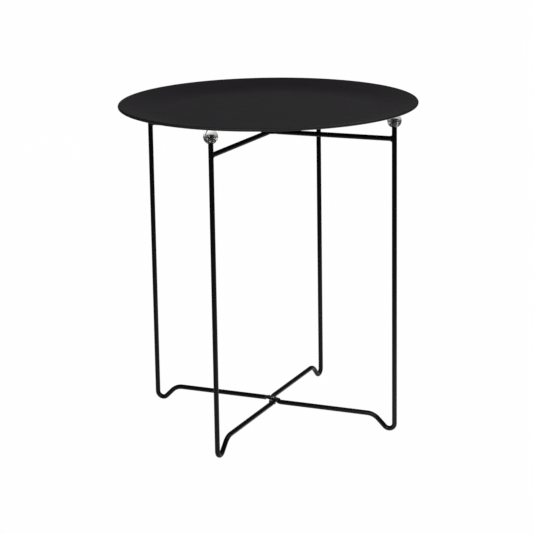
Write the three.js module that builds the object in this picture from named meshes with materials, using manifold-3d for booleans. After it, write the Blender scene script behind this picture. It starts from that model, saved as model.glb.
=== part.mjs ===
// Folding side table. Two wire frames cross at right angles and turn on one upright pivot axis, a rivet low
// down and a rivet high up. A loose round tray lies on the clear balls that cap the four legs.
// Millimetres, +Z up. The origin is on the floor, on the pivot axis. Frame 1 lies along X, frame 2 along Y.

import * as THREE from 'three';
import { mergeVertices } from 'three/addons/utils/BufferGeometryUtils.js';
import Module from 'manifold-3d';

// ---------------------------------------------------------------- driving dimensions

const TABLE_HEIGHT = 500;
const GAP = 0.3; // clearance between neighbouring pieces

const TRAY_DIAMETER = 450;
const TRAY_DEPTH = 12.5;
const SHEET = 1.2; // thickness of the tray's sheet
const BEAD = 4.6; // diameter of the rolled edge
const FLARE_ANGLE = THREE.MathUtils.degToRad(14.7);
const FLARE_FILLET = 50; // inside radius between the flat and the flare

const ROD = 7; // diameter of the wire
const BALL = 21;
const TIP_ABOVE_BALL_CENTRE = 2;
const TRAY_CLEARANCE = 1.4; // between the balls and the tray's underside, square to the flare
const LEG_FOOT_RADIUS = 203.5; // from the pivot axis to the leg's centre line, low down
const LEG_TOP_RADIUS = 200.5; // the same at the ball
const FOOT_BEND = 9; // centre-line radius of the bend that stands on the floor
const KNEE_BEND = 25;
const RISE_ANGLE = THREE.MathUtils.degToRad(45);
const LOWER_BAR_HEIGHT = 24.5;
const UPPER_BAR_HEIGHT = 455;

const JOGGLE_LENGTH = 32; // the slanted stretch in the middle of each bar, measured along the frame
const JOGGLE_STEP = 12; // how far it moves the bar sideways
const JOGGLE_BEND = 10;
const PAD_LENGTH = 21; // the bar is pressed flat here, and the pads of the two frames lie on each other
const PAD_WIDTH = 11;
const PAD_THICKNESS = 3.2;

const WASHER = 0.8; // thickness
const WASHER_DIAMETER = 10;
const RIVET_SHANK = 4;
const RIVET_HEAD = 7.5;
const RIVET_HEAD_HEIGHT = 1.8;
const RIVET_TAIL = 6.8; // the peened end
const RIVET_TAIL_HEIGHT = 1.4;

const WELD_DIAMETER = 11; // the crossbar's end swells to this where it is welded to the leg
const WELD_LENGTH = 4;

// Facets of the round shapes
const ROD_SIDES = 12;
const BEND_STEP = THREE.MathUtils.degToRad(15);
const TRAY_SEGMENTS = 72;
const BALL_SEGMENTS = 24;
const RIVET_SEGMENTS = 20;

// ---------------------------------------------------------------- sizes that follow from them

const trayRadius = TRAY_DIAMETER / 2;
const beadRadius = BEAD / 2;
const ballRadius = BALL / 2;
const rodRadius = ROD / 2;
const padFace = WASHER / 2 + GAP; // from a bar's mid height to the inner face of its pad
const padOuterFace = padFace + PAD_THICKNESS;

// The flare's straight stretch touches the rolled edge here.
const flareTop = {
  r: trayRadius - beadRadius - beadRadius * Math.sin(FLARE_ANGLE),
  z: TABLE_HEIGHT - beadRadius + beadRadius * Math.cos(FLARE_ANGLE),
};

// A ball's centre lies one radius and the clearance below the flare's underside, square to the slope.
const ballHeight = flareTop.z
  - (flareTop.r - LEG_TOP_RADIUS) * Math.tan(FLARE_ANGLE)
  - (ballRadius + SHEET + TRAY_CLEARANCE) / Math.cos(FLARE_ANGLE);

// ---------------------------------------------------------------- solids

const wasm = await Module();
wasm.setup();

// A three.js geometry as a manifold solid
function toSolid(geometry) {
  const bare = geometry.clone();
  bare.deleteAttribute('normal');
  bare.deleteAttribute('uv');
  const merged = mergeVertices(bare, 1e-4);
  return new wasm.Manifold(new wasm.Mesh({
    numProp: 3,
    vertProperties: new Float32Array(merged.attributes.position.array),
    triVerts: new Uint32Array(merged.index.array),
  }));
}

// A manifold solid as a three.js geometry
function toGeometry(solid) {
  const mesh = solid.getMesh();
  const geometry = new THREE.BufferGeometry();
  geometry.setAttribute('position', new THREE.BufferAttribute(mesh.vertProperties, 3));
  geometry.setIndex(new THREE.BufferAttribute(mesh.triVerts, 1));
  geometry.computeVertexNormals();
  return geometry;
}

// A body turned about Z from [radius, height] pairs
function turned(profile, segments) {
  const points = profile.map(([r, z]) => new THREE.Vector2(r, z));
  return new THREE.LatheGeometry(points, segments).rotateX(Math.PI / 2);
}

function cylinder(radius, zLow, zHigh, segments) {
  return turned([[0, zLow], [radius, zLow], [radius, zHigh], [0, zHigh]], segments);
}

// Points on an arc in the [radius, height] plane, both ends included
function arc(r, z, radius, from, to, steps) {
  return Array.from({ length: steps + 1 }, (_, i) => {
    const angle = from + ((to - from) * i) / steps;
    return [r + radius * Math.cos(angle), z + radius * Math.sin(angle)];
  });
}

// ---------------------------------------------------------------- bent wire

// A centre line known at its stations only: each straight stretch is one step, each bend a few.
class WireCurve extends THREE.Curve {
  constructor(stations) {
    super();
    this.stations = stations;
  }

  station(t) {
    return this.stations[Math.round(t * (this.stations.length - 1))];
  }

  getPoint(t) {
    return this.station(t).point.clone();
  }

  getPointAt(t) {
    return this.getPoint(t);
  }

  getTangentAt(t) {
    return this.station(t).tangent.clone();
  }
}

// The stations of a wire that runs from corner to corner, each corner rounded to its bend radius
function bendWire(corners) {
  const direction = (a, b) => b.at.clone().sub(a.at).normalize();
  const stations = [{ point: corners[0].at, tangent: direction(corners[0], corners[1]) }];
  for (let i = 1; i < corners.length - 1; i++) {
    const incoming = direction(corners[i - 1], corners[i]);
    const outgoing = direction(corners[i], corners[i + 1]);
    const turn = incoming.angleTo(outgoing);
    const axis = incoming.clone().cross(outgoing).normalize();
    const radius = corners[i].bend;
    const start = corners[i].at.clone().addScaledVector(incoming, -radius * Math.tan(turn / 2));
    const centre = axis.clone().cross(incoming).multiplyScalar(radius).add(start);
    const steps = Math.max(2, Math.ceil(turn / BEND_STEP));
    for (let k = 0; k <= steps; k++) {
      const angle = (turn * k) / steps;
      stations.push({
        point: start.clone().sub(centre).applyAxisAngle(axis, angle).add(centre),
        tangent: incoming.clone().applyAxisAngle(axis, angle),
      });
    }
  }
  const last = corners.length - 1;
  stations.push({ point: corners[last].at, tangent: direction(corners[last - 1], corners[last]) });
  return stations;
}

// A round wire swept along the corners and their half-turn copies, which make the frame's other half
function sweepWire(half) {
  const otherHalf = half.map(({ at, bend }) => ({ at: new THREE.Vector3(-at.x, -at.y, at.z), bend }));
  const stations = bendWire([...half, ...otherHalf.reverse()]);
  const section = new THREE.Shape(arc(0, 0, rodRadius, 0, 2 * Math.PI, ROD_SIDES)
    .slice(0, ROD_SIDES)
    .map(([x, y]) => new THREE.Vector2(x, y)));
  return toSolid(new THREE.ExtrudeGeometry(section, {
    steps: stations.length - 1,
    extrudePath: new WireCurve(stations),
  }));
}

// Where a bar's joggle starts, on the half that runs towards +X. side is +1 or -1, the way it steps.
function joggleStart(side, height) {
  return new THREE.Vector3(JOGGLE_LENGTH / 2, side * JOGGLE_STEP / 2, height);
}

// The leg's centre line at a height, on the half that runs towards +X
function legAt(height) {
  const low = rodRadius + FOOT_BEND;
  const share = (height - low) / (ballHeight - low);
  return new THREE.Vector3(THREE.MathUtils.lerp(LEG_FOOT_RADIUS, LEG_TOP_RADIUS, share), 0, height);
}

// Presses the middle of a bar flat and drills it for the rivet. level is +1 for the upper pad, -1 for the
// lower one.
function flattenMiddle(bar, side, height, level) {
  const slant = Math.atan2(side * JOGGLE_STEP, JOGGLE_LENGTH);
  const end = (PAD_LENGTH - PAD_WIDTH) / 2;
  const outline = new THREE.Shape()
    .absarc(end, 0, PAD_WIDTH / 2, -Math.PI / 2, Math.PI / 2)
    .absarc(-end, 0, PAD_WIDTH / 2, Math.PI / 2, (3 * Math.PI) / 2);
  const slab = (depth, z) => toSolid(
    new THREE.ExtrudeGeometry(outline, { depth, bevelEnabled: false, curveSegments: 10 })
      .translate(0, 0, z)
      .rotateZ(slant),
  );
  const pad = slab(PAD_THICKNESS, level > 0 ? height + padFace : height - padOuterFace);
  const clearance = slab(ROD, level > 0 ? height + padFace - ROD : height - padFace);
  const hole = toSolid(cylinder(RIVET_SHANK / 2 + GAP, height - ROD, height + ROD, RIVET_SEGMENTS));
  return bar.subtract(clearance).add(pad).subtract(hole);
}

// Both legs, both feet and the lower bar of a frame, bent from one wire
function legWire(side, level) {
  const start = joggleStart(side, LOWER_BAR_HEIGHT);
  const foot = legAt(rodRadius + FOOT_BEND);
  const outward = foot.clone().sub(start).setZ(0);
  const reach = outward.length();
  outward.normalize();
  const inBarPlane = (run, height) => start.clone().addScaledVector(outward, run).setZ(height);

  // The foot bend's centre lies one bend radius inside the leg. The rise passes it at the same distance.
  const drop = LOWER_BAR_HEIGHT - rodRadius - FOOT_BEND;
  const kneeRun = reach - FOOT_BEND
    - (FOOT_BEND + drop * Math.cos(RISE_ANGLE)) / Math.sin(RISE_ANGLE);
  const lean = (LEG_FOOT_RADIUS - LEG_TOP_RADIUS) / (ballHeight - rodRadius - FOOT_BEND);
  const slope = Math.tan(RISE_ANGLE);
  const footRun = (reach - lean * (drop + slope * kneeRun)) / (1 - lean * slope);

  const bar = sweepWire([
    { at: legAt(ballHeight + TIP_ABOVE_BALL_CENTRE) },
    { at: inBarPlane(footRun, LOWER_BAR_HEIGHT - slope * (footRun - kneeRun)), bend: FOOT_BEND },
    { at: inBarPlane(kneeRun, LOWER_BAR_HEIGHT), bend: KNEE_BEND },
    { at: start, bend: JOGGLE_BEND },
  ]);
  return toGeometry(flattenMiddle(bar, side, LOWER_BAR_HEIGHT, level));
}

// The upper bar of a frame, welded between its legs
function crossbar(side, level) {
  const start = joggleStart(side, UPPER_BAR_HEIGHT);
  const leg = legAt(UPPER_BAR_HEIGHT);
  let bar = sweepWire([{ at: leg }, { at: start, bend: JOGGLE_BEND }]);

  const inward = start.clone().sub(leg).normalize();
  const flareEnd = rodRadius + WELD_LENGTH;
  const flare = turned(
    [[0, 0], [WELD_DIAMETER / 2, rodRadius], [rodRadius, flareEnd], [0, flareEnd]],
    RIVET_SEGMENTS,
  )
    .applyQuaternion(new THREE.Quaternion().setFromUnitVectors(new THREE.Vector3(0, 0, 1), inward))
    .translate(leg.x, leg.y, leg.z);
  const legRoom = cylinder(rodRadius + GAP, -WELD_DIAMETER, WELD_DIAMETER, RIVET_SEGMENTS)
    .translate(leg.x, leg.y, leg.z);

  for (const turn of [0, Math.PI]) {
    bar = bar.add(toSolid(flare.clone().rotateZ(turn))).subtract(toSolid(legRoom.clone().rotateZ(turn)));
  }
  return toGeometry(flattenMiddle(bar, side, UPPER_BAR_HEIGHT, level));
}

// ---------------------------------------------------------------- other pieces

// A shallow dish pressed from sheet, with a flared border and a rolled edge
function trayShape() {
  const up = Math.PI / 2;
  const flat = TABLE_HEIGHT - TRAY_DEPTH;
  const filletTop = flat + FLARE_FILLET * (1 - Math.cos(FLARE_ANGLE));
  const flatRadius = flareTop.r - (flareTop.z - filletTop) / Math.tan(FLARE_ANGLE)
    - FLARE_FILLET * Math.sin(FLARE_ANGLE);
  const filletCentre = flat + FLARE_FILLET;
  const edge = { r: trayRadius - beadRadius, z: TABLE_HEIGHT - beadRadius };
  const seam = Math.acos((beadRadius - SHEET) / beadRadius); // where the roll closes on the sheet
  const edgeStart = up + FLARE_ANGLE;
  return turned([
    [0, flat - SHEET],
    ...arc(flatRadius, filletCentre, FLARE_FILLET + SHEET, -up, -up + FLARE_ANGLE, 4),
    ...arc(edge.r, edge.z, beadRadius, edgeStart + seam - 2 * Math.PI, edgeStart, 12),
    ...arc(flatRadius, filletCentre, FLARE_FILLET, -up + FLARE_ANGLE, -up, 4),
    [0, flat],
  ], TRAY_SEGMENTS);
}

// A clear ball with a blind bore for the leg's tip
function ballShape() {
  const bore = rodRadius + GAP;
  const boreTop = TIP_ABOVE_BALL_CENTRE + GAP;
  const mouth = -Math.acos(bore / ballRadius);
  return turned([
    [0, boreTop],
    [bore, boreTop],
    ...arc(0, 0, ballRadius, mouth, Math.PI / 2, 12).slice(0, -1),
    [0, ballRadius],
  ], BALL_SEGMENTS);
}

function washerShape() {
  const hole = RIVET_SHANK / 2 + GAP;
  const [low, high, rim] = [-WASHER / 2, WASHER / 2, WASHER_DIAMETER / 2];
  return turned([[hole, low], [rim, low], [rim, high], [hole, high], [hole, low]], RIVET_SEGMENTS);
}

// The shank with a domed head above and a peened end below
function rivetShape() {
  const seat = padOuterFace + GAP;
  const headRadius = RIVET_HEAD / 2;
  const dome = (headRadius ** 2 + RIVET_HEAD_HEIGHT ** 2) / (2 * RIVET_HEAD_HEIGHT);
  const domeCentre = seat + RIVET_HEAD_HEIGHT - dome;
  const domeEdge = Math.acos(headRadius / dome);
  const tailRadius = RIVET_TAIL / 2;
  const tailEnd = -seat - RIVET_TAIL_HEIGHT;
  const chamfer = RIVET_TAIL_HEIGHT / 2;
  return turned([
    [0, tailEnd],
    [tailRadius - chamfer, tailEnd],
    [tailRadius, tailEnd + chamfer],
    [tailRadius, -seat],
    [RIVET_SHANK / 2, -seat],
    [RIVET_SHANK / 2, seat],
    ...arc(0, domeCentre, dome, domeEdge, Math.PI / 2, 5).slice(0, -1),
    [0, seat + RIVET_HEAD_HEIGHT],
  ], RIVET_SEGMENTS);
}

// ---------------------------------------------------------------- assembly

const table = new THREE.Group();

// Adds one named piece to a group, in its own material
function piece(parent, name, geometry, look) {
  const mesh = new THREE.Mesh(geometry, new THREE.MeshStandardMaterial(look));
  mesh.name = name;
  parent.add(mesh);
  return mesh;
}

const BLACK_COAT = { color: 0x161618, roughness: 0.38, metalness: 0.0 };
const TRAY_COAT = { color: 0x2a2a2c, roughness: 0.6, metalness: 0.0 };
const CLEAR = { color: 0xf2f1ec, roughness: 0.05, metalness: 0.0, transparent: true, opacity: 0.35 };
const STEEL = { color: 0xa39b8e, roughness: 0.35, metalness: 1.0 };
const NYLON = { color: 0xe4e0d4, roughness: 0.5, metalness: 0.0 };

// Frame 1's pad lies above frame 2's at the lower pivot and below it at the upper one, so neither frame can
// be lifted off the other. Each frame's joggles step away from the side it folds towards.
const FRAMES = [
  { name: 'frame_1', heading: 0, side: -1, level: 1, balls: ['ball_front_right', 'ball_rear_left'] },
  { name: 'frame_2', heading: Math.PI / 2, side: 1, level: -1, balls: ['ball_rear_right', 'ball_front_left'] },
];

for (const { name, heading, side, level, balls } of FRAMES) {
  const frame = new THREE.Group();
  frame.rotation.z = heading;
  table.add(frame);
  piece(frame, `${name}_leg_wire`, legWire(side, level), BLACK_COAT);
  piece(frame, `${name}_crossbar`, crossbar(side, -level), BLACK_COAT);
  balls.forEach((ball, i) => {
    const end = i === 0 ? 1 : -1;
    piece(frame, ball, ballShape(), CLEAR).position.set(end * LEG_TOP_RADIUS, 0, ballHeight);
  });
}

for (const [place, height] of [['lower', LOWER_BAR_HEIGHT], ['upper', UPPER_BAR_HEIGHT]]) {
  piece(table, `${place}_pivot_rivet`, rivetShape(), STEEL).position.z = height;
  piece(table, `${place}_pivot_washer`, washerShape(), NYLON).position.z = height;
}

piece(table, 'tray', trayShape(), TRAY_COAT);

export default table;
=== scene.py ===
"""The looks of a folding side table: a loose black tray on four clear balls at the tips of two crossed
wire frames. Metres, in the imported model's own frame: +Z up, the upright pivot axis through the origin."""

import math

import bmesh
import bpy
from mathutils import Matrix, Quaternion, Vector


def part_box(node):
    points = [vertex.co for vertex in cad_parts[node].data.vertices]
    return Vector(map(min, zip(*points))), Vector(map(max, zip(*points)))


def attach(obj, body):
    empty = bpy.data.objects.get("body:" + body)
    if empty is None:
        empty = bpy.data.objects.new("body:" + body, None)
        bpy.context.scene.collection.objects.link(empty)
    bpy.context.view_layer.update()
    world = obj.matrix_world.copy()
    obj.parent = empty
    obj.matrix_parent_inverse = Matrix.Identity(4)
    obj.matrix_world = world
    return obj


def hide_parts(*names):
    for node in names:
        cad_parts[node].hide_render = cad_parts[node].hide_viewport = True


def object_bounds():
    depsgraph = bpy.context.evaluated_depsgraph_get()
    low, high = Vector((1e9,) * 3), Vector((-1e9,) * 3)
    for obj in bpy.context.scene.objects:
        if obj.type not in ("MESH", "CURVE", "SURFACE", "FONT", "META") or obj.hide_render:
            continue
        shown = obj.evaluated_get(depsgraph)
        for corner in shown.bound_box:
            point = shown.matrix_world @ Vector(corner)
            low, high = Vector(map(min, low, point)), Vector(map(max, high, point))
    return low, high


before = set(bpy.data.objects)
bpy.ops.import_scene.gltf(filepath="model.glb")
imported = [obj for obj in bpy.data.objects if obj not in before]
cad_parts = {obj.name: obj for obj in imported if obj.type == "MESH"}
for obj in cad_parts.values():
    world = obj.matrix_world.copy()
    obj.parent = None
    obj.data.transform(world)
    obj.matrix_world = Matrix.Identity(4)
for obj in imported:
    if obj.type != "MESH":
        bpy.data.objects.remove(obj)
cad_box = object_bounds()

# ---------------------------------------------------------------- sizes

MM = 0.001
UP = Vector((0, 0, 1))

ROD = 3.7 * MM  # radius of the wire, with its coat
FOOT_BEND = 9 * MM
KNEE_BEND = 25 * MM
RISE_ANGLE = math.radians(45)

SHEET = 1.2 * MM  # thickness of the tray's sheet
BEAD = 2.3 * MM  # outer radius of the tray's rolled edge
ROLL_TURN = math.radians(290)  # how far round the edge is rolled
FLARE_ANGLE = math.radians(14.7)
FLARE_FILLET = 150 * MM

JOGGLE_BEND = 10 * MM
JOGGLE_LENGTH = 32 * MM
JOGGLE_STEP = 12 * MM
PAD_HALF_WIDTH = 5.5 * MM
PAD_THICKNESS = 3.35 * MM
PAD_SQUARENESS = 2.6  # what a pad's section adds to the 2 that is an ellipse's exponent
PAD_FACE = 0.5 * MM  # from a bar's mid height to its pad's inner face
PAD_FLAT = 11.0 * MM  # how far the pad stays flat, from the rivet along the bar
PAD_FADE = 4.2 * MM  # the stretch in which it turns back into round wire
PAD_SPACING = 0.7 * MM  # between a joggle's sections
BAR_END = 0.93 * ROD  # from a leg's centre line to the end of a crossbar

RIVET_SHANK = 2.1 * MM  # this and the next two are radii
RIVET_HOLE = 2.15 * MM
WASHER_HOLE = 2.25 * MM
BORE_GAP = 0.3 * MM  # between a leg's tip and the bore in its ball
BALL_FLAT = 5.0 * MM  # radius of the flat under a ball
BALL_LIFT = 1.0 * MM  # the CAD balls sit this much lower, clear of the tray's collision hulls


def node_middle(name):
    """The middle height of a CAD node."""
    low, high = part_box(name)
    return (low.z + high.z) / 2


# The places of things come from the CAD nodes.
tray_low, tray_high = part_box("tray")
tray_radius = (tray_high.x - tray_low.x) / 2
rim_height = tray_high.z
tray_depth = rim_height - tray_low.z - SHEET

ball_low, ball_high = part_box("ball_front_right")
ball_radius = (ball_high.x - ball_low.x) / 2
ball_height = ball_high.z - ball_radius + BALL_LIFT
leg_top_radius = (ball_high.x + ball_low.x) / 2

wire_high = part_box("frame_1_leg_wire")[1]
leg_foot_radius = wire_high.x - ROD
tip_height = wire_high.z

floor_height = cad_box[0].z
foot_centre_height = floor_height + ROD + FOOT_BEND
lower_bar_height = node_middle("lower_pivot_washer")
upper_bar_height = node_middle("upper_pivot_washer")

# ---------------------------------------------------------------- mesh helpers


def finish_mesh(name, mesh_data, sharp_angle=math.radians(40)):
    """A smooth-shaded object from a bmesh, with crisp edges where the surface turns sharply."""
    bmesh.ops.remove_doubles(mesh_data, verts=mesh_data.verts, dist=0.0001 * MM)
    bmesh.ops.recalc_face_normals(mesh_data, faces=mesh_data.faces)
    mesh = bpy.data.meshes.new(name)
    mesh_data.to_mesh(mesh)
    mesh_data.free()
    mesh.shade_smooth()
    mesh.set_sharp_from_angle(angle=sharp_angle)
    piece = bpy.data.objects.new(name, mesh)
    bpy.context.scene.collection.objects.link(piece)
    return piece


def join_rows(mesh_data, rows, closed_along):
    """Faces between neighbouring rows of vertices. Each row closes on itself, and closed_along also joins
    the last row to the first."""
    count = len(rows[0])
    pairs = list(zip(rows, rows[1:]))
    if closed_along:
        pairs.append((rows[-1], rows[0]))
    for low, high in pairs:
        for i in range(count):
            j = (i + 1) % count
            mesh_data.faces.new((low[i], low[j], high[j], high[i]))


def skin_rings(rings, closed_along=False):
    """A bmesh skinned over rings of points. Open ends are closed with a face each."""
    mesh_data = bmesh.new()
    rows = [[mesh_data.verts.new(point) for point in ring] for ring in rings]
    join_rows(mesh_data, rows, closed_along)
    if not closed_along:
        mesh_data.faces.new(rows[0])
        mesh_data.faces.new(rows[-1])
    return mesh_data


def revolve(name, profile, segments, centre=Vector(), sharp_angle=math.radians(40)):
    """A body turned about an upright axis from (radius, height) pairs that start and end on the axis,
    or that close on themselves."""
    on_axis = profile[0][0] == 0
    mesh_data = bmesh.new()
    rows = []
    for r, z in profile[1:-1] if on_axis else profile:
        row = []
        for i in range(segments):
            angle = 2 * math.pi * i / segments
            row.append(mesh_data.verts.new(centre + Vector((r * math.cos(angle), r * math.sin(angle), z))))
        rows.append(row)
    join_rows(mesh_data, rows, closed_along=not on_axis)
    if on_axis:
        for row, (_, z) in ((rows[0], profile[0]), (rows[-1], profile[-1])):
            pole = mesh_data.verts.new(centre + Vector((0, 0, z)))
            for i in range(segments):
                mesh_data.faces.new((pole, row[i], row[(i + 1) % segments]))
    return finish_mesh(name, mesh_data, sharp_angle)


def arc(r, z, radius, start, end, steps):
    """Points on an arc in the (radius, height) plane, both ends included. Angles are in radians."""
    points = []
    for i in range(steps + 1):
        angle = start + (end - start) * i / steps
        points.append((r + radius * math.cos(angle), z + radius * math.sin(angle)))
    return points


def smooth_step(x):
    """0 below 0, 1 above 1, and a smooth rise between."""
    x = min(1.0, max(0.0, x))
    return x * x * (3 - 2 * x)


def cut(piece, tool):
    """Cuts one object out of another, for good, and removes the tool."""
    modifier = piece.modifiers.new("cut", "BOOLEAN")
    modifier.object = tool
    modifier.solver = "EXACT"
    depsgraph = bpy.context.evaluated_depsgraph_get()
    result = bpy.data.meshes.new_from_object(piece.evaluated_get(depsgraph))
    piece.modifiers.clear()
    piece.data = result
    bpy.data.objects.remove(tool)


def drill(piece, height, reach=8 * MM):
    """Drills a rivet's hole through a bar's pad. reach is how far the drill goes above and below."""
    profile = [(0, -reach), (RIVET_HOLE, -reach), (RIVET_HOLE, reach), (0, reach)]
    cut(piece, revolve("hole", profile, 48, Vector((0, 0, height))))


# ---------------------------------------------------------------- bent wire


def bend_wire(corners, step=math.radians(5)):
    """The (point, tangent) stations of a wire that runs from corner to corner. corners are (point, bend
    radius) pairs, and the two ends have no bend."""
    points = [Vector(point) for point, _ in corners]
    stations = [(points[0], (points[1] - points[0]).normalized())]
    for i in range(1, len(points) - 1):
        incoming = (points[i] - points[i - 1]).normalized()
        outgoing = (points[i + 1] - points[i]).normalized()
        turn = incoming.angle(outgoing)
        axis = incoming.cross(outgoing).normalized()
        radius = corners[i][1]
        start = points[i] - incoming * radius * math.tan(turn / 2)
        centre = start + axis.cross(incoming) * radius
        steps = max(3, math.ceil(turn / step))
        for k in range(steps + 1):
            spin = Quaternion(axis, turn * k / steps)
            stations.append((centre + spin @ (start - centre), spin @ incoming))
    stations.append((points[-1], (points[-1] - points[-2]).normalized()))
    return stations


def refine(stations, near, reach, spacing):
    """Adds stations on the straight stretches that pass within reach of the point near."""
    refined = [stations[0]]
    for (a, _), (b, tangent) in zip(stations, stations[1:]):
        length = (b - a).length
        middle = (a + b) / 2
        if length > spacing and (middle - near).length < reach:
            count = math.ceil(length / spacing)
            refined += [(a.lerp(b, k / count), tangent) for k in range(1, count)]
        refined.append((b, tangent))
    return refined


def headings(stations, least_level=0.1):
    """The level direction that each station's bend plane lies along. A stretch whose tangent is less level
    than least_level counts as upright, and takes it from the bend next to it."""
    found = []
    for _, tangent in stations:
        level = Vector((tangent.x, tangent.y, 0))
        found.append(level.normalized() if level.length > least_level else None)
    for order in (range(1, len(found)), range(len(found) - 2, -1, -1)):
        step = -1 if order.step > 0 else 1
        for i in order:
            if found[i] is None:
                found[i] = found[i + step]
    return found


def rounded_tips(rings, stations, edge=0.8 * MM, steps=5):
    """Rounds the sawn ends of a wire over: extra rings that shrink towards each end face."""
    def tip(ring, point, outward):
        extra = []
        for k in range(1, steps + 1):
            angle = math.pi / 2 * k / steps
            scale = 1 - edge / ROD * (1 - math.cos(angle))
            shift = outward * edge * (math.sin(angle) - 1)
            extra.append([point + (p - point) * scale + shift for p in ring])
        first = [p - outward * edge for p in ring]
        return [first] + extra
    (start, start_tangent), (end, end_tangent) = stations[0], stations[-1]
    head = tip(rings[0], start, -start_tangent)
    tail = tip(rings[-1], end, end_tangent)
    return head[::-1] + rings[1:-1] + tail


def wire_mesh(name, stations, bar_height, level, sides=32, round_ends=False):
    """A round wire along the stations, pressed flat beside the pivot axis. level is +1 where the pad lies
    above the bar's mid height, and -1 where it lies below."""
    pivot = Vector((0, 0, bar_height))
    rings = []
    for (point, tangent), heading in zip(stations, headings(stations)):
        side = UP.cross(heading)
        rise = tangent.cross(side).normalized()
        flat = 1 - smooth_step(((point - pivot).length - PAD_FLAT) / PAD_FADE)
        half_width = ROD + (PAD_HALF_WIDTH - ROD) * flat
        half_depth = ROD + (PAD_THICKNESS / 2 - ROD) * flat
        lift = level * (PAD_FACE + PAD_THICKNESS / 2) * flat
        power = 2 / (2 + PAD_SQUARENESS * flat)
        ring = []
        for i in range(sides):
            angle = 2 * math.pi * i / sides
            c, s = math.cos(angle), math.sin(angle)
            across = math.copysign(abs(c) ** power, c) * half_width
            high = math.copysign(abs(s) ** power, s) * half_depth + lift
            ring.append(point + side * across + rise * high)
        rings.append(ring)
    if round_ends:
        rings = rounded_tips(rings, stations)
    return finish_mesh(name, skin_rings(rings))


def bar_mesh(name, half, bar_height, level, round_ends=False):
    """A wire with a joggle and a pad at its middle, from the corners of its half that runs towards +X."""
    other_half = [(Vector((-p.x, -p.y, p.z)), bend) for p, bend in half]
    pivot = Vector((0, 0, bar_height))
    stations = refine(bend_wire(half + other_half[::-1]), pivot, JOGGLE_LENGTH / 2, PAD_SPACING)
    return wire_mesh(name, stations, bar_height, level, round_ends=round_ends)


def leg_at(height):
    """The leg's centre line at a height, on the half that runs towards +X."""
    share = (height - foot_centre_height) / (ball_height - foot_centre_height)
    return Vector((leg_foot_radius + (leg_top_radius - leg_foot_radius) * share, 0, height))


def joggle_start(side, height):
    """Where a bar's joggle starts, on the half that runs towards +X. side is +1 or -1, the way it steps."""
    return Vector((JOGGLE_LENGTH / 2, side * JOGGLE_STEP / 2, height))


def leg_wire(name, side, level):
    """Both legs, both feet and the lower bar of a frame that lies along X."""
    start = joggle_start(side, lower_bar_height)
    foot = leg_at(foot_centre_height)
    outward = Vector((foot.x - start.x, foot.y - start.y, 0))
    reach = outward.length
    outward.normalize()
    drop = lower_bar_height - foot_centre_height
    # The foot bend's centre lies one bend radius inside the leg. The rise passes it at the same distance.
    knee_run = reach - FOOT_BEND - (FOOT_BEND + drop * math.cos(RISE_ANGLE)) / math.sin(RISE_ANGLE)
    lean = (leg_foot_radius - leg_top_radius) / (ball_height - foot_centre_height)
    slope = math.tan(RISE_ANGLE)
    foot_run = (reach - lean * (drop + slope * knee_run)) / (1 - lean * slope)
    knee = start + outward * knee_run
    foot_corner = start + outward * foot_run - UP * slope * (foot_run - knee_run)
    half = [
        (leg_at(tip_height), 0),
        (foot_corner, FOOT_BEND),
        (knee, KNEE_BEND),
        (start, JOGGLE_BEND),
    ]
    return bar_mesh(name, half, lower_bar_height, level, round_ends=True)


def crossbar(name, side, level):
    """The upper bar of a frame that lies along X. Its ends run a little way into the legs' welds."""
    start = joggle_start(side, upper_bar_height)
    leg = leg_at(upper_bar_height)
    end = leg + (start - leg).normalized() * BAR_END
    return bar_mesh(name, [(end, 0), (start, JOGGLE_BEND)], upper_bar_height, level)


def weld_bead(name, side, end, width=2.3 * MM, length=3.6 * MM, around=72, steps=8):
    """The fillet weld that runs round a crossbar's end, on the leg. end is +1 or -1, the half it is on."""
    leg = leg_at(upper_bar_height)
    inward = (joggle_start(side, upper_bar_height) - leg).normalized()
    across = UP.cross(inward)
    widest = 0.94 * ROD  # the bead hugs the leg, and doesn't stand out past its sides
    sunk = 0.15 * MM  # how deep its edge on the leg bites into the metal
    back = ROD - 0.5 * MM  # its hidden back lies this far from the bar's centre line
    rings = []
    for i in range(around):
        angle = 2 * math.pi * i / around
        ripple = 1 + 0.09 * math.sin(9 * angle + 0.7) + 0.05 * math.sin(4 * angle)
        radial = across * math.cos(angle) + UP * math.sin(angle)
        ring = []
        # From the leg's skin, up over the hollow fillet, to the bar's skin, and back inside the metal
        for k in range(steps + 1):
            share = k / steps
            away = ROD + width * ripple * (1 - share) ** 1.9
            along = length * ripple * share ** 1.5
            offset = max(-widest, min(widest, away * math.cos(angle)))
            skin = math.sqrt(ROD ** 2 - offset ** 2)
            point = leg + across * offset + UP * away * math.sin(angle)
            ring.append(point + inward * (skin + along - sunk * (1 - share)))
        ring.append(leg + radial * back + inward * (ROD + length * 0.6))
        ring.append(leg + radial * back + inward * ROD * 0.35)
        rings.append(ring)
    bead = finish_mesh(name, skin_rings(rings, closed_along=True), math.radians(60))
    if end < 0:
        bead.data.transform(Matrix.Rotation(math.pi, 4, "Z"))
    return bead


# ---------------------------------------------------------------- turned pieces


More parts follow.
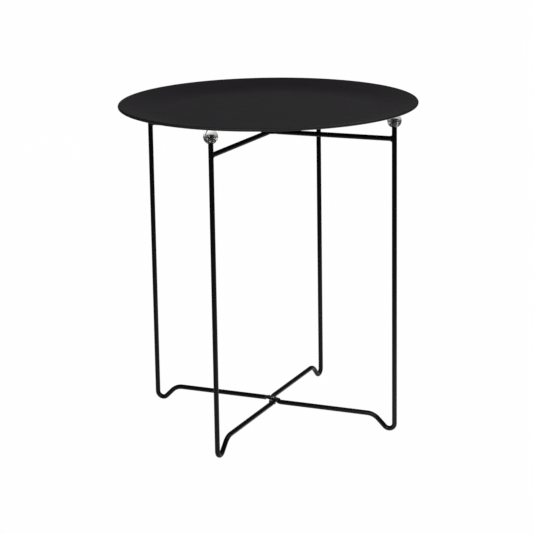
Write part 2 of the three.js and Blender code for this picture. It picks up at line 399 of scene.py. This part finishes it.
def tray(name):
    """A dish pressed from sheet, with its edge rolled outwards and under."""
    half = SHEET / 2
    edge_r, edge_z = tray_radius - BEAD, rim_height - BEAD
    flat = rim_height - tray_depth
    fillet_top = flat + FLARE_FILLET * (1 - math.cos(FLARE_ANGLE))
    flare_r = edge_r - BEAD * math.sin(FLARE_ANGLE)
    flare_z = edge_z + BEAD * math.cos(FLARE_ANGLE)
    flare_run = (flare_z - fillet_top) / math.tan(FLARE_ANGLE)
    flat_radius = flare_r - flare_run - FLARE_FILLET * math.sin(FLARE_ANGLE)
    quarter = math.pi / 2
    roll_start = quarter + FLARE_ANGLE
    roll_end = roll_start - ROLL_TURN

    def side_of_sheet(roll_radius, fillet_radius):
        """One face of the sheet, from the edge of the flat to the end of the roll."""
        return [
            *arc(flat_radius, flat + FLARE_FILLET, fillet_radius, -quarter, -quarter + FLARE_ANGLE, 14),
            *arc(edge_r, edge_z, roll_radius, roll_start, roll_end, 44),
        ]

    upper = side_of_sheet(BEAD, FLARE_FILLET)
    lower = side_of_sheet(BEAD - SHEET, FLARE_FILLET + SHEET)
    middle_r = edge_r + (BEAD - half) * math.cos(roll_end)
    middle_z = edge_z + (BEAD - half) * math.sin(roll_end)
    cap = arc(middle_r, middle_z, half, roll_end, roll_end - math.pi, 6)[1:-1]
    rings_of_flat = [flat_radius * share for share in (0.35, 0.7, 0.95)]
    profile = [
        (0, flat),
        *[(r, flat) for r in rings_of_flat],
        *upper,
        *cap,
        *lower[::-1],
        *[(r, flat - SHEET) for r in rings_of_flat[::-1]],
        (0, flat - SHEET),
    ]
    return revolve(name, profile, 240)


def ball(name, node, edge=0.3 * MM, bore_fillet=0.6 * MM, flat_rounding=0.03):
    """A clear ball with a blind bore for the leg's tip, its mouth broken with a small chamfer. The sphere
    starts flat_rounding radians away from the flat underneath."""
    low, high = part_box(node)
    centre = Vector(((low.x + high.x) / 2, (low.y + high.y) / 2, ball_height))
    bore = ROD + BORE_GAP
    bore_top = tip_height - ball_height + BORE_GAP
    flat_angle = -math.acos(BALL_FLAT / ball_radius)
    flat_height = ball_radius * math.sin(flat_angle)
    profile = [
        (0, bore_top),
        *arc(bore - bore_fillet, bore_top - bore_fillet, bore_fillet, math.pi / 2, 0, 5),
        (bore, flat_height + edge),
        (bore + edge, flat_height),
        (BALL_FLAT - edge, flat_height),
        *arc(0, 0, ball_radius, flat_angle + flat_rounding, math.pi / 2, 60)[:-1],
        (0, ball_radius),
    ]
    return revolve(name, profile, 96, centre, math.radians(30))


def rivet(name, node, gap=0.02 * MM, rim=0.45 * MM, tail_edge=0.6 * MM):
    """A rivet through both pads, with a low domed head above and a peened, dimpled end below."""
    low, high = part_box(node)
    head_radius = (high.x - low.x) / 2
    bar_height = node_middle(node.replace("rivet", "washer"))
    seat = PAD_FACE + PAD_THICKNESS + gap
    head_height = high.z - bar_height - seat
    dome_height = head_height - rim
    dome = (head_radius ** 2 + dome_height ** 2) / (2 * dome_height)
    dome_centre = seat + head_height - dome
    dome_edge = math.acos(head_radius * 0.97 / dome)
    tail = head_radius * 0.9
    tail_height = bar_height - low.z - seat
    profile = [
        (0, -seat - tail_height * 0.72),
        (tail * 0.34, -seat - tail_height * 0.78),
        (tail * 0.5, -seat - tail_height),
        *arc(tail - tail_edge, -seat - tail_height + tail_edge, tail_edge, -math.pi / 2, 0, 6),
        (tail, -seat),
        (RIVET_SHANK, -seat),
        (RIVET_SHANK, seat),
        (head_radius, seat),
        (head_radius, seat + rim * 0.6),
        *arc(0, dome_centre, dome, dome_edge, math.pi / 2, 12)[:-1],
        (0, seat + head_height),
    ]
    return revolve(name, profile, 64, Vector((0, 0, bar_height)), math.radians(35))


def washer(name, node, edge=0.15 * MM):
    """A thin washer between the two pads, its edges broken."""
    low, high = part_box(node)
    outer = (high.x - low.x) / 2
    half = (high.z - low.z) / 2
    profile = [
        (WASHER_HOLE, -half),
        (outer - edge, -half),
        (outer, -half + edge),
        (outer, half - edge),
        (outer - edge, half),
        (WASHER_HOLE, half),
    ]
    return revolve(name, profile, 64, Vector((0, 0, (low.z + high.z) / 2)))


# ---------------------------------------------------------------- materials


class Nodes:
    """A material under construction: short calls for the nodes that every finish here needs."""

    def __init__(self, name):
        self.material = bpy.data.materials.new(name)
        self.material.use_nodes = True
        self.tree = self.material.node_tree
        self.shader = self.tree.nodes["Principled BSDF"]
        self.place = self.tree.nodes.new("ShaderNodeTexCoord").outputs["Object"]

    def link(self, source, target):
        self.tree.links.new(source, target)

    def noise(self, scale, detail=2.0, roughness=0.5):
        """Noise with features of about 1/scale metres, from 0 to 1."""
        node = self.tree.nodes.new("ShaderNodeTexNoise")
        node.inputs["Scale"].default_value = scale
        node.inputs["Detail"].default_value = detail
        node.inputs["Roughness"].default_value = roughness
        self.link(self.place, node.inputs["Vector"])
        return node.outputs["Fac"]

    def ramp(self, value, low, high, to_low=0.0, to_high=1.0):
        """A value moved from one range to another, and held there."""
        node = self.tree.nodes.new("ShaderNodeMapRange")
        node.clamp = True
        for socket, number in zip(("From Min", "From Max", "To Min", "To Max"), (low, high, to_low, to_high)):
            node.inputs[socket].default_value = number
        self.link(value, node.inputs["Value"])
        return node.outputs["Result"]

    def math(self, operation, a, b):
        """One Math node. b is a socket or a number."""
        node = self.tree.nodes.new("ShaderNodeMath")
        node.operation = operation
        self.link(a, node.inputs[0])
        if isinstance(b, (int, float)):
            node.inputs[1].default_value = b
        else:
            self.link(b, node.inputs[1])
        return node.outputs["Value"]

    def mix(self, share, a, b):
        """Two colours, each a socket or an RGB triple, mixed by a share."""
        node = self.tree.nodes.new("ShaderNodeMix")
        node.data_type = "RGBA"
        self.link(share, node.inputs["Factor"])
        for socket, colour in ((node.inputs["A"], a), (node.inputs["B"], b)):
            if isinstance(colour, tuple):
                socket.default_value = (*colour, 1)
            else:
                self.link(colour, socket)
        return node.outputs["Result"]

    def bump(self, height, distance, strength=1.0, under=None):
        """A normal bumped by a height, on top of the normal under it."""
        node = self.tree.nodes.new("ShaderNodeBump")
        node.inputs["Distance"].default_value = distance
        node.inputs["Strength"].default_value = strength
        self.link(height, node.inputs["Height"])
        if under is not None:
            self.link(under, node.inputs["Normal"])
        return node.outputs["Normal"]

    def drive(self, **sources):
        """Node outputs linked to the shader's sockets."""
        for socket, source in sources.items():
            self.link(source, self.shader.inputs[socket.replace("_", " ")])

    def fix(self, **values):
        """Constant values on the shader's own sockets."""
        for socket, value in values.items():
            self.shader.inputs[socket.replace("_", " ")].default_value = value


def powder_coat(name, dark, light, roughness, grain, depth, specular):
    """Black powder coat: a fine orange-peel skin, with faint clouding in its colour and sheen. grain is how
    many bumps there are to a metre."""
    n = Nodes(name)
    clouds = n.noise(14, 4, 0.6)
    speckle = n.noise(grain * 2.2, 1)
    tone = n.mix(n.ramp(clouds, 0.35, 0.7), dark, light)
    bright = tuple(1.5 * channel for channel in light)
    rub = n.noise(45, 5, 0.65)
    peel = n.bump(n.noise(grain, 2, 0.55), depth)
    n.drive(
        Base_Color=n.mix(n.ramp(speckle, 0.55, 0.8, 0, 0.35), tone, bright),
        Roughness=n.ramp(rub, 0.3, 0.75, roughness - 0.02, roughness + 0.03),
        Normal=n.bump(n.noise(grain * 0.22, 2), depth * 2.2, 1, peel),
    )
    n.fix(Specular_IOR_Level=specular)
    return n.material


def clear_plastic(name):
    """Clear acrylic, slightly warm, with hairline scuffs that dull it in places."""
    n = Nodes(name)
    warmth = n.noise(60, 2)
    scuffs = n.noise(900, 3, 0.7)
    n.drive(
        Base_Color=n.mix(n.ramp(warmth, 0.3, 0.7), (0.96, 0.95, 0.93), (0.93, 0.915, 0.885)),
        Roughness=n.ramp(scuffs, 0.5, 0.85, 0.02, 0.12),
        Normal=n.bump(n.noise(160, 2), 0.02 * MM, 0.25),
    )
    n.fix(Transmission_Weight=1.0, IOR=1.49)
    return n.material


def plated_steel(name):
    """The rivets' dull plating, with turning marks round the axis and a few darker stains."""
    n = Nodes(name)
    stains = n.noise(500, 4, 0.65)
    rings = n.tree.nodes.new("ShaderNodeTexWave")
    rings.wave_type = "RINGS"
    rings.rings_direction = "Z"
    rings.inputs["Scale"].default_value = 900
    rings.inputs["Distortion"].default_value = 1.5
    n.link(n.place, rings.inputs["Vector"])
    n.drive(
        Base_Color=n.mix(n.ramp(stains, 0.4, 0.7), (0.46, 0.43, 0.38), (0.27, 0.25, 0.22)),
        Roughness=n.ramp(n.noise(1500, 3), 0.3, 0.7, 0.24, 0.42),
        Normal=n.bump(rings.outputs["Fac"], 0.01 * MM, 0.5),
    )
    n.fix(Metallic=1.0)
    return n.material


def nylon(name):
    """Natural nylon with a faint mottle."""
    n = Nodes(name)
    mottle = n.noise(700, 3)
    n.drive(
        Base_Color=n.mix(mottle, (0.74, 0.71, 0.64), (0.62, 0.59, 0.52)),
        Roughness=n.ramp(mottle, 0.3, 0.7, 0.42, 0.58),
        Normal=n.bump(mottle, 0.02 * MM, 0.5),
    )
    return n.material


def floor_paper(name, pool=0.5, centre=(0.4, -0.05, 0), glow=1.2, glow_through=1.6):
    """White studio paper. To the camera it is white all over; to all other rays it glows, a painted pool of
    light whose emission fades with the distance from the pool's centre. pool is that pool's radius, glow the
    painted light it gives off at its centre, and glow_through what is added to that for rays that pass
    through clear plastic."""
    n = Nodes(name)
    far = n.tree.nodes.new("ShaderNodeVectorMath")
    far.operation = "DISTANCE"
    n.link(n.place, far.inputs[0])
    far.inputs[1].default_value = centre
    spread = n.math("POWER", n.math("DIVIDE", far.outputs["Value"], pool), 1.5)
    fade = n.math("POWER", n.math("ADD", spread, 1.0), -1.0)
    rays = n.tree.nodes.new("ShaderNodeLightPath")
    through = n.math("MULTIPLY", rays.outputs["Is Transmission Ray"], glow_through)
    # painted light: the floor's own emission paints a pool of light that no lamp casts, and it lights the
    # table
    painted_pool_light = n.math("MULTIPLY", fade, n.math("ADD", through, glow))
    seen = rays.outputs["Is Camera Ray"]
    unseen = n.ramp(seen, 0, 1, 1, 0)
    n.drive(
        Emission_Strength=n.math("ADD", n.math("MULTIPLY", painted_pool_light, unseen), seen),
        Emission_Color=n.mix(n.noise(0.8, 2), (1.0, 1.0, 1.0), (0.985, 0.985, 0.985)),
    )
    n.fix(Roughness=1.0, Specular_IOR_Level=0.0, Base_Color=(0, 0, 0, 1))
    return n.material


frame_coat = powder_coat(
    "frame_coat",
    dark=(0.0043, 0.0041, 0.0046),
    light=(0.0056, 0.0053, 0.006),
    roughness=0.2,
    grain=900,
    depth=0.012 * MM,
    specular=0.18,
)
tray_coat = powder_coat(
    "tray_coat",
    dark=(0.0098, 0.007, 0.010),
    light=(0.012, 0.009, 0.0122),
    roughness=0.55,
    grain=1500,
    depth=0.02 * MM,
    specular=0.45,
)
clear = clear_plastic("clear_plastic")
steel = plated_steel("rivet_steel")
washer_nylon = nylon("nylon")

# ---------------------------------------------------------------- the table


def place(piece, body, slot, material, *nodes):
    """Gives a piece its finish and the body it rides on, and hides the CAD nodes it stands for."""
    piece.data.materials.clear()
    piece.data.materials.append(material)
    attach(piece, body)
    if nodes:
        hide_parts(*nodes)


# Each frame's body and heading, the way its joggles step, +1 if its lower pad lies above the other frame's
# and -1 if it lies below, and its balls
FRAMES = (
    ("frame_1", 0, -1, 1, ("ball_front_right", "ball_rear_left")),
    ("frame_2", math.pi / 2, 1, -1, ("ball_rear_right", "ball_front_left")),
)

for body, turn, side, level, balls in FRAMES:
    spin = Matrix.Rotation(turn, 4, "Z")
    for make, part, height, pad_level in (
        (leg_wire, "leg_wire", lower_bar_height, level),
        (crossbar, "crossbar", upper_bar_height, -level),
    ):
        wire = make(f"{body}_{part}_coated", side, pad_level)
        drill(wire, height)
        wire.data.transform(spin)
        place(wire, body, "frame_coat", frame_coat, f"{body}_{part}")
    for end, ball_node in zip((1, -1), balls):
        bead = weld_bead(ball_node.replace("ball", "weld"), side, end)
        bead.data.transform(spin)
        place(bead, body, "frame_coat", frame_coat)
        place(ball(ball_node + "_clear", ball_node), body, "clear_plastic", clear, ball_node)

for level_name in ("lower", "upper"):
    rivet_node = f"{level_name}_pivot_rivet"
    washer_node = f"{level_name}_pivot_washer"
    place(rivet(rivet_node + "_turned", rivet_node), "frame_1", "rivet_steel", steel, rivet_node)
    place(washer(washer_node + "_turned", washer_node), "frame_1", "nylon", washer_nylon, washer_node)

place(tray("tray_pressed"), "tray", "tray_coat", tray_coat, "tray")

# ---------------------------------------------------------------- stage, light and camera

# Angles here are in degrees. The lights' azimuths count on from the camera's.
CAMERA_AZIMUTH = 23.82
CAMERA_ELEVATION = 20.58
CAMERA_DISTANCE = 2.6146
CAMERA_ROLL = -0.905
LENS = 111.26
AIM_HEIGHT = 0.2421
AIM_SIDE = -0.00625
LIGHT_AIM = Vector((0, 0, 0.3))


def around(azimuth, elevation, distance):
    """A point round the origin. Azimuth 0 is in front, on the -Y side, and grows towards +X."""
    azimuth = math.radians(azimuth)
    elevation = math.radians(elevation)
    return distance * Vector((
        math.sin(azimuth) * math.cos(elevation),
        -math.cos(azimuth) * math.cos(elevation),
        math.sin(elevation),
    ))


def stage_object(name, data, location, aim, roll=0.0):
    """A camera or light that stands at a place and faces a point."""
    thing = bpy.data.objects.new(name, data)
    bpy.context.scene.collection.objects.link(thing)
    thing.location = location
    thing.rotation_mode = "QUATERNION"
    facing = (aim - thing.location).to_track_quat("-Z", "Y")
    thing.rotation_quaternion = facing @ Quaternion((0, 0, 1), math.radians(roll))
    return thing


def add_floor():
    floor_mesh = bmesh.new()
    bmesh.ops.create_grid(floor_mesh, x_segments=8, y_segments=8, size=30)
    stage_floor = finish_mesh("floor", floor_mesh)
    stage_floor.location.z = floor_height
    stage_floor.data.materials.append(floor_paper("floor_paper"))


def add_camera():
    data = bpy.data.cameras.new("camera")
    data.lens = LENS
    data.sensor_width = 36
    data.clip_start = 0.01
    data.clip_end = 100
    location = around(CAMERA_AZIMUTH, CAMERA_ELEVATION, CAMERA_DISTANCE)
    aim = around(CAMERA_AZIMUTH + 90, 0, AIM_SIDE) + UP * AIM_HEIGHT
    bpy.context.scene.camera = stage_object("camera", data, location, aim, CAMERA_ROLL)


def softbox(name, azimuth, elevation, distance, width, height, power):
    """A soft rectangular studio light that faces the table."""
    data = bpy.data.lights.new(name, "AREA")
    data.shape = "RECTANGLE"
    data.size = width
    data.size_y = height
    data.energy = power
    stage_object(name, data, around(CAMERA_AZIMUTH + azimuth, elevation, distance), LIGHT_AIM)


def studio_world(floor_glow, horizon, sky, through_plastic, horizon_at=0.55):
    """Dim studio surroundings: what the floor gives back below, the walls, and a darker ceiling. Rays that
    pass through clear plastic find brighter ones, and the camera itself sees white paper."""
    world = bpy.data.worlds.new("studio")
    world.use_nodes = True
    nodes, links = world.node_tree.nodes, world.node_tree.links

    def grey(value):
        return (value, value, value, 1)

    direction = nodes.new("ShaderNodeTexCoord")
    split = nodes.new("ShaderNodeSeparateXYZ")
    links.new(direction.outputs["Generated"], split.inputs["Vector"])
    height = nodes.new("ShaderNodeMapRange")
    height.inputs["From Min"].default_value = -1
    links.new(split.outputs["Z"], height.inputs["Value"])
    ramp = nodes.new("ShaderNodeValToRGB")
    ramp.color_ramp.elements[0].color = grey(floor_glow)
    ramp.color_ramp.elements[1].color = grey(sky)
    ramp.color_ramp.elements.new(horizon_at).color = grey(horizon)
    links.new(height.outputs["Result"], ramp.inputs["Fac"])
    rays = nodes.new("ShaderNodeLightPath")
    colour = ramp.outputs["Color"]
    for ray, value in (("Is Transmission Ray", through_plastic), ("Is Camera Ray", 1)):
        choice = nodes.new("ShaderNodeMix")
        choice.data_type = "RGBA"
        choice.inputs["B"].default_value = grey(value)
        links.new(rays.outputs[ray], choice.inputs["Factor"])
        links.new(colour, choice.inputs["A"])
        colour = choice.outputs["Result"]
    links.new(colour, nodes["Background"].inputs["Color"])
    bpy.context.scene.world = world


add_floor()
add_camera()
softbox("back_light", azimuth=180, elevation=24, distance=3.2, width=3.2, height=0.9, power=1.6)
softbox("right_light", azimuth=90, elevation=60, distance=2.4, width=1.3, height=1.1, power=14)
softbox("front_light", azimuth=-20, elevation=34, distance=3.0, width=1.6, height=1.2, power=32)
studio_world(floor_glow=0.20, horizon=0.06, sky=0.05, through_plastic=0.35)
bpy.context.scene.view_settings.view_transform = "Standard"
